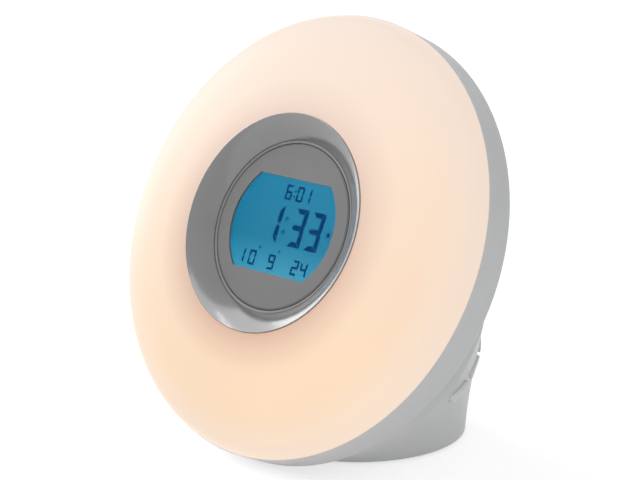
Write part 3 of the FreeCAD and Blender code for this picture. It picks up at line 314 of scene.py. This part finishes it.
def new_piece(name, mesh, materials, replaced=(), body="case"):
    """Puts a finished mesh into the scene and lets it ride."""
    piece = bpy.data.objects.new(name, mesh)
    bpy.context.scene.collection.objects.link(piece)
    for material in materials:
        mesh.materials.append(material)
    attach(piece, body)
    if replaced:
        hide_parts(*replaced)
    return piece


def to_mesh(name, bm, smooth=True):
    """A finished mesh, softly shaded between its sharp edges."""
    bmesh.ops.recalc_face_normals(bm, faces=bm.faces)
    mesh = bpy.data.meshes.new(name)
    bm.to_mesh(mesh)
    bm.free()
    if smooth:
        mesh.shade_smooth()
        mesh.set_sharp_from_angle(angle=math.radians(35))
    return mesh


def turned(section, count=256):
    """Turns a closed section of radius and height about the disc's axis."""
    bm = bmesh.new()
    rings = []
    for k in range(count):
        angle = 2 * math.pi * k / count
        way = Vector((math.cos(angle), math.sin(angle), 0))
        rings.append([bm.verts.new(DISC @ (way * r + Vector((0, 0, z)))) for r, z in section])
    for k in range(count):
        this, following = rings[k], rings[(k + 1) % count]
        for i in range(len(section)):
            j = (i + 1) % len(section)
            bm.faces.new((this[i], this[j], following[j], following[i]))
    return bm


def plate(bm, points, low, high):
    """A flat plate with a convex outline on the disc's axis, from one height to another."""
    rows = [[bm.verts.new(DISC @ Vector((x, y, z))) for x, y in points] for z in (low, high)]
    bm.faces.new(rows[0][::-1])
    bm.faces.new(rows[1])
    count = len(points)
    for k in range(count):
        bm.faces.new((rows[0][k], rows[0][(k + 1) % count], rows[1][(k + 1) % count], rows[1][k]))


# The figures: seven bars to a digit

BARS = {"0": "abcdef", "1": "bc", "2": "abged", "3": "abgcd", "4": "fgbc", "6": "afgedc", "9": "gfabcd"}

# Sizes of the display's figures in millimetres: width, height, bar and gap
SMALL = (3.9, 6.8, 1.0, 0.07)
LARGE = (7.6, 17.1, 2.35, 0.14)
LOWER = (4.0, 6.7, 1.0, 0.07)

# The rows of figures: each digit with its left edge, the row's base and its size
ROWS = [
    ([("6", -4.6), ("0", 2.0), ("1", 6.5)], 11.9, SMALL),
    ([("1", -9.7), ("3", 4.6), ("3", 14.7)], -7.7, LARGE),
    ([("1", -21.2), ("0", -14.6), ("9", -3.0), ("2", 11.2), ("4", 16.3)], -19.4, LOWER),
]
COLON_DOTS = [(0.85, 16.2), (0.75, 13.85)]
COLON_RADIUS = 0.48
LARGE_DOTS = [(0.74, 3.7), (0.69, -2.2)]
LARGE_DOT_RADIUS = 1.15
DATE_DOTS = [(-9.7, -10.9), (1.85, -10.9)]
DATE_DOT_RADIUS = 0.75
SUN = (26.3, 0.9)
SUN_RADIUS = 1.0
RAY_CIRCLE = 2.0
RAY_RADIUS = 0.24
RAY_COUNT = 8


def bar_shapes(width, height, thick, gap):
    """The seven bars of an upright digit, mitred at their ends, as outlines from its lower left corner."""
    half = thick / 2
    middle = height / 2

    def level(y, up):
        """A flat bar: mitred on its inner side, or pointed at both ends where it lies in the middle."""
        low, high = gap, width - gap
        if up == 0:
            return [(low + half, y - half), (high - half, y - half), (high, y), (high - half, y + half),
                    (low + half, y + half), (low, y)]
        return [(low, y), (high, y), (high - thick, y + up * thick), (low + thick, y + up * thick)][::-up]

    def upright(x, inward, end, up):
        """A bar from the middle to one end: mitred at that end and pointed at the middle."""
        tip, outer = middle + up * gap, end - up * gap
        points = [(x, outer), (x + inward * thick, outer - up * thick), (x + inward * thick, tip + up * half),
                  (x + inward * half, tip), (x, tip + up * half)]
        return points if inward * up > 0 else points[::-1]

    return {
        "a": level(height, -1), "d": level(0, 1), "g": level(middle, 0),
        "f": upright(0, 1, height, 1), "e": upright(0, 1, 0, -1),
        "b": upright(width, -1, height, 1), "c": upright(width, -1, 0, -1),
    }


def figure(bm, digit, left, base, width, height, thick, gap):
    """One digit of the display; its lower left corner lies at left, base. In millimetres."""
    shapes = bar_shapes(width, height, thick, gap)
    for bar in BARS[digit]:
        points = [((left + x) * MM, (base + y) * MM) for x, y in shapes[bar]]
        plate(bm, points, GLASS_TOP, GLASS_TOP + INK_WALL)


def dots(bm, places, radius, count=24):
    """Round marks of the display. In millimetres."""
    turns = [2 * math.pi * k / count for k in range(count)]
    for x, y in places:
        points = [((x + radius * math.cos(a)) * MM, (y + radius * math.sin(a)) * MM) for a in turns]
        plate(bm, points, GLASS_TOP, GLASS_TOP + INK_WALL)


def display_figures():
    """The dark figures and the paler dots, printed on the glass."""
    dark = ink("display_ink", linear(3, 62, 112))
    teal = ink("display_ink_pale", linear(8, 106, 142))

    bm = bmesh.new()
    for digits, base, sizes in ROWS:
        for digit, left in digits:
            figure(bm, digit, left, base, *sizes)
    dots(bm, COLON_DOTS, COLON_RADIUS)
    dots(bm, [SUN], SUN_RADIUS)
    turns = [2 * math.pi * (k + 0.5) / RAY_COUNT for k in range(RAY_COUNT)]
    rays = [(SUN[0] + RAY_CIRCLE * math.cos(a), SUN[1] + RAY_CIRCLE * math.sin(a)) for a in turns]
    dots(bm, rays, RAY_RADIUS, count=8)
    new_piece("display_figures", to_mesh("display_figures", bm, smooth=False), [dark])

    bm = bmesh.new()
    dots(bm, LARGE_DOTS, LARGE_DOT_RADIUS)
    dots(bm, DATE_DOTS, DATE_DOT_RADIUS)
    new_piece("display_dots", to_mesh("display_dots", bm, smooth=False), [teal])


# Light, floor and camera

# Lamps: place, aim, width, height and watts
LAMPS = {
    "key": ((-1.35, -0.65, 1.35), (0, 0, 0.1), 2.2, 1.9, 20),
    "side": ((-1.6, -0.1, 0.45), (0, 0, 0.1), 0.9, 0.95, 6.5),
    "strip": ((-0.98, -0.48, 1.27), (0, 0, 0.1), 0.12, 0.6, 0.75),
    "fill": ((1.3, -1.0, 0.45), (0, 0, 0.08), 1.2, 0.8, 5.5),
}

# The room's light on the part, and the white that a camera or a mirror sees
ROOM_LIGHT = 0.42
ROOM_SEEN = 1.0

# The floor: half its width, its colour, and the glow that a camera or a mirror sees
FLOOR_REACH = 6
FLOOR_COLOUR = 0.78
FLOOR_SEEN = 0.62


def softbox(name, place_at, aim, width, height, watts):
    """A rectangular lamp."""
    data = bpy.data.lights.new(name, "AREA")
    data.shape = "RECTANGLE"
    data.size, data.size_y = width, height
    data.energy = watts
    lamp = bpy.data.objects.new(name, data)
    lamp.location = place_at
    lamp.rotation_euler = (Vector(aim) - Vector(place_at)).to_track_quat("-Z", "Y").to_euler()
    bpy.context.scene.collection.objects.link(lamp)
    return lamp


def seen_or_mirrored(tree):
    """1 for rays from the camera and for those that gloss or glass sends on."""
    path = node(tree, "LightPath")
    first = node(tree, "Math", {0: path.outputs["Is Camera Ray"], 1: path.outputs["Is Glossy Ray"]},
                 operation="MAXIMUM")
    return node(tree, "Math", {0: first.outputs["Value"], 1: path.outputs["Is Transmission Ray"]},
                operation="MAXIMUM").outputs["Value"]


def studio():
    """The room, its lamps and the floor."""
    world = bpy.data.worlds.new("studio")
    bpy.context.scene.world = world
    world.use_nodes = True
    tree = world.node_tree
    background = tree.nodes["Background"]
    level = remap(tree, seen_or_mirrored(tree), 0, 1, ROOM_LIGHT, ROOM_SEEN)
    tree.links.new(level, background.inputs["Strength"])
    background.inputs["Color"].default_value = (1, 1, 1, 1)

    for name, settings in LAMPS.items():
        lamp = softbox(name, *settings)
        lamp.visible_glossy = name != "fill"

    bm = bmesh.new()
    corners = ((-1, -1), (1, -1), (1, 1), (-1, 1))
    bm.faces.new([bm.verts.new((x * FLOOR_REACH, y * FLOOR_REACH, 0)) for x, y in corners])
    mesh = bpy.data.meshes.new("floor")
    bm.to_mesh(mesh)
    bm.free()
    floor = bpy.data.objects.new("floor", mesh)
    bpy.context.scene.collection.objects.link(floor)
    material, tree, shader = new_material("pale_floor")
    shader.inputs["Base Color"].default_value = (FLOOR_COLOUR, FLOOR_COLOUR, FLOOR_COLOUR, 1)
    shader.inputs["Roughness"].default_value = 0.8
    shader.inputs["Specular IOR Level"].default_value = 0.0
    shader.inputs["Emission Color"].default_value = (1, 1, 1, 1)
    glow = remap(tree, seen_or_mirrored(tree), 0, 1, 0.0, FLOOR_SEEN)
    tree.links.new(glow, shader.inputs["Emission Strength"])
    mesh.materials.append(material)


# The camera's place round the disc's centre
CAMERA_AZIMUTH = math.radians(43.756)
CAMERA_ELEVATION = math.radians(14.891)
CAMERA_RIGHT = 8.154 * MM
CAMERA_UP = -2.722 * MM
CAMERA_BACK = 1011.9 * MM
CAMERA_LENS = 130.5
CAMERA_SENSOR = 36


def camera():
    """The photograph's view of the part."""
    right = Vector((math.cos(CAMERA_AZIMUTH), math.sin(CAMERA_AZIMUTH), 0))
    back = Vector((math.sin(CAMERA_AZIMUTH) * math.cos(CAMERA_ELEVATION),
                   -math.cos(CAMERA_AZIMUTH) * math.cos(CAMERA_ELEVATION), math.sin(CAMERA_ELEVATION)))
    up = back.cross(right)
    data = bpy.data.cameras.new("camera")
    data.lens = CAMERA_LENS
    data.sensor_width = CAMERA_SENSOR
    eye = bpy.data.objects.new("camera", data)
    bpy.context.scene.collection.objects.link(eye)
    turn = Matrix((right, up, back)).transposed().to_4x4()
    spot = DISC.translation + right * CAMERA_RIGHT + up * CAMERA_UP + back * CAMERA_BACK
    eye.matrix_world = Matrix.Translation(spot) @ turn
    bpy.context.scene.camera = eye


# Window, glass and bezel

def window_outline(spare):
    """The window: a circle with its top and bottom cut straight."""
    radius, half = WINDOW_RADIUS + spare, WINDOW_HALF + spare
    corner = math.asin(half / radius)
    steps = 40
    angles = [-corner + 2 * corner * k / steps for k in range(steps + 1)]
    right = [(radius * math.cos(a), radius * math.sin(a)) for a in angles]
    return right + [(-x, -y) for x, y in right]


def pane():
    """The clear window over the display."""
    bm = bmesh.new()
    plate(bm, window_outline(-PANE_GAP), LENS_TOP - LENS_WALL, LENS_TOP)
    mesh = to_mesh("window_pane", bm, smooth=False)
    new_piece("window_pane", mesh, [clear("clear_lens", LENS_INDEX)], ["display_lens"])


def glass():
    """The blue back-lit glass under the window."""
    bm = bmesh.new()
    plate(bm, window_outline(GLASS_OVERLAP), GLASS_TOP - GLASS_WALL, GLASS_TOP)
    mesh = to_mesh("display_glass", bm, smooth=False)
    new_piece("display_glass", mesh, [display_blue()], ["lcd_cell"])


def bezel():
    """The dished ring round the display, and the lip that the face lies in."""
    outer = Vector((BEZEL_RADIUS - OUTER_EDGE[0], BEZEL_TOP)) * MM
    inner = Vector((BEZEL_INNER + INNER_EDGE[0], BEZEL_FLOOR)) * MM
    chord = inner - outer
    depth = math.sqrt((BEZEL_DISH * MM) ** 2 - (chord.length / 2) ** 2)
    centre = (outer + inner) / 2 - Vector((chord.y, -chord.x)).normalized() * depth
    first = math.atan2(*(outer - centre).yx)
    last = math.atan2(*(inner - centre).yx)
    steps = 16
    turns = [first + (last - first) * k / steps for k in range(steps + 1)]
    dish = [tuple(centre + Vector((math.cos(a), math.sin(a))) * BEZEL_DISH * MM) for a in turns]
    rest = [
        (BEZEL_INNER, BEZEL_FLOOR - INNER_EDGE[1]),
        (BEZEL_INNER, BEZEL_SHELF),
        (BEZEL_INNER + BEZEL_WALL, BEZEL_SHELF),
        (BEZEL_INNER + BEZEL_WALL, BEZEL_FLOOR - BEZEL_UNDER_FLOOR),
        (BEZEL_RADIUS - BEZEL_WALL, BEZEL_TOP - BEZEL_UNDER_TOP),
        (BEZEL_RADIUS - BEZEL_WALL, BEZEL_FOOT),
        (BEZEL_RADIUS, BEZEL_FOOT),
        (BEZEL_RADIUS, BEZEL_TOP - OUTER_EDGE[1]),
        (BEZEL_RADIUS - OUTER_BEND[0], BEZEL_TOP - OUTER_BEND[1]),
    ]
    section = dish + [(r * MM, z * MM) for r, z in rest]
    ring = moulded("silver_bezel", linear(137, 137, 138), 0.17)
    ring.node_tree.nodes["Principled BSDF"].inputs["Metallic"].default_value = 0.38
    new_piece("bezel_ring", to_mesh("bezel_ring", turned(section)), [ring], ["display_bezel"])

    lip_inner, lip_outer = FACE_RADIUS + FACE_GAP, BEZEL_INNER - LIP_GAP
    lip = [
        (lip_inner, BEZEL_SHELF),
        (lip_inner, LIP_TOP - LIP_SLOPE - LIP_EDGE[1]),
        (lip_inner + LIP_EDGE[0], LIP_TOP - LIP_SLOPE),
        (lip_outer, LIP_TOP),
        (lip_outer, BEZEL_SHELF),
    ]
    lip_mesh = to_mesh("bezel_lip", turned([(r * MM, z * MM) for r, z in lip]))
    new_piece("bezel_lip", lip_mesh, [moulded("grey_lip", linear(144, 144, 145), 0.5)])


# Key crowns in millimetres: how high they rise, how far they reach past the key and into it
CROWN_RISE = 1.2
LOW_CROWN_RISE = 0.4
CROWN_SPARE = 0.03
CROWN_SINK = 0.5

# Rings from a crown's edge to its top, and steps round each of its ends
CROWN_RINGS = 9
CROWN_ARC_STEPS = 14


def cap_frame(name):
    """The flat top of a key: its middle, outward direction, lengthwise direction, length and width."""
    mesh = frame["nodes"][name].data
    joints = frame["record"]["behaviour"]["joints"]
    inward = Vector(next(j["axis"] for j in joints if j["child"] == name + "_body"))
    planes = {}
    for face in mesh.polygons:
        if face.normal.dot(inward) < -0.8:
            key = tuple(round(c, 2) for c in face.normal) + (round(face.center.dot(face.normal), 5),)
            planes.setdefault(key, []).append(face)

    def depth(faces):
        """How deep a plane lies, as the mean over its faces."""
        return sum(f.center.dot(inward) * f.area for f in faces) / sum(f.area for f in faces)

    top = min(planes.values(), key=depth)
    normal = top[0].normal.copy()
    points = [mesh.vertices[i].co for i in sorted({i for face in top for i in face.vertices})]
    ends = max(((a, b) for a in points for b in points), key=lambda pair: (pair[0] - pair[1]).length)
    along = (ends[1] - ends[0]).normalized()
    across = normal.cross(along)
    spans = [(min(p.dot(d) for p in points), max(p.dot(d) for p in points)) for d in (along, across)]
    (low, high), (near, far) = spans
    middle = along * (low + high) / 2 + across * (near + far) / 2 + normal * normal.dot(points[0])
    return middle, normal, along, high - low, far - near


def key_crown(name, material):
    """A softly crowned cap on a key: the key's outline, drawn in ring by ring."""
    middle, normal, along, length, width = cap_frame(name)
    across = normal.cross(along)
    half = width / 2 + CROWN_SPARE * MM
    straight = (length - width) / 2
    rise = (CROWN_RISE if name.endswith("_front") else LOW_CROWN_RISE) * MM
    sink = CROWN_SINK * MM
    levels = [(0, -sink)]
    for k in range(CROWN_RINGS):
        turn = math.pi / 2 * k / CROWN_RINGS
        levels.append((half * (1 - math.cos(turn)), rise * math.sin(turn)))
    bm = bmesh.new()
    rings = []
    for inset, height in levels:
        ring = []
        for side in (1, -1):
            for k in range(CROWN_ARC_STEPS + 1):
                a = math.pi * (k / CROWN_ARC_STEPS - 0.5) + (0 if side > 0 else math.pi)
                x = side * straight + (half - inset) * math.cos(a)
                y = (half - inset) * math.sin(a)
                ring.append(bm.verts.new(middle + along * x + across * y + normal * height))
        rings.append(ring)
    count = len(rings[0])
    for lower, upper in zip(rings, rings[1:]):
        for k in range(count):
            bm.faces.new((lower[k], lower[(k + 1) % count], upper[(k + 1) % count], upper[k]))
    bm.faces.new(rings[0][::-1])
    bm.faces.new(rings[-1])
    new_piece("crown_" + name, to_mesh("crown_" + name, bm), [material], body=name + "_body")


# Finishes

KEYS = ("key_right_front", "key_right_middle", "key_right_rear", "key_left_front", "key_left_middle",
        "key_left_rear", "snooze_key")


def dress(material, *names):
    """Gives CAD nodes a finish."""
    for name in names:
        slots = frame["nodes"][name].data.materials
        slots.clear()
        slots.append(material)


def materials():
    """Gives every CAD node its finish and the keys their crowns."""
    case = moulded("grey_housing", linear(214, 215, 216), 0.38, grain=0.01 * MM)
    dress(case, "rear_housing")
    key_grey = moulded("grey_keys", linear(226, 227, 228), 0.3)
    dress(key_grey, *KEYS)
    for name in KEYS:
        key_crown(name, key_grey)
    dress(opal(), "diffuser")
    dress(moulded("grey_face", linear(113, 113, 114), 0.4, grain=0.008 * MM), "display_face")
    # Painted shade: the cup, seen in the gap round the face, is made grey so that the gap reads dark
    dress(moulded("grey_cup", linear(132, 133, 134), 0.5), "display_cup", "lcd_holder", "display_bezel")
    dress(moulded("dark_base", linear(120, 121, 122), 0.5, grain=0.02 * MM), "base_plate", "battery_door")
    dress(moulded("black_rubber", linear(45, 45, 46), 0.75, grain=0.03 * MM), "rubber_feet", "contact_strips")
    dress(moulded("white_plastic", linear(235, 235, 232), 0.45), "reflector_tray")
    dress(moulded("black_plastic", linear(32, 32, 33), 0.4), "power_inlet", "main_board_parts", "power_parts",
          "right_key_switches", "left_key_switches", "snooze_key_switches")
    dress(moulded("board_green", linear(30, 96, 60), 0.35), "main_board", "lamp_board", "power_board",
          "right_key_board", "left_key_board", "snooze_key_board")
    dress(moulded("lamp_yellow", linear(250, 226, 150), 0.3), "lamps")
    dress(clear("guide_clear", GUIDE_INDEX), "lcd_light_guide")
    dress(metal("zinc_screws", linear(205, 206, 208), 0.3), "tray_screws", "cup_screws", "main_board_screws",
          "power_board_screws", "base_screws", "battery_door_screw", "speaker_screws", "key_board_screws",
          "cell_contact", "backup_cell", "speaker_basket", "speaker_magnet")
    dress(moulded("paper_cone", linear(52, 50, 48), 0.85, grain=0.03 * MM), "speaker_cone")


materials()
bezel()
pane()
glass()
display_figures()
studio()
camera()

scene = bpy.context.scene
scene.view_settings.view_transform = "Standard"
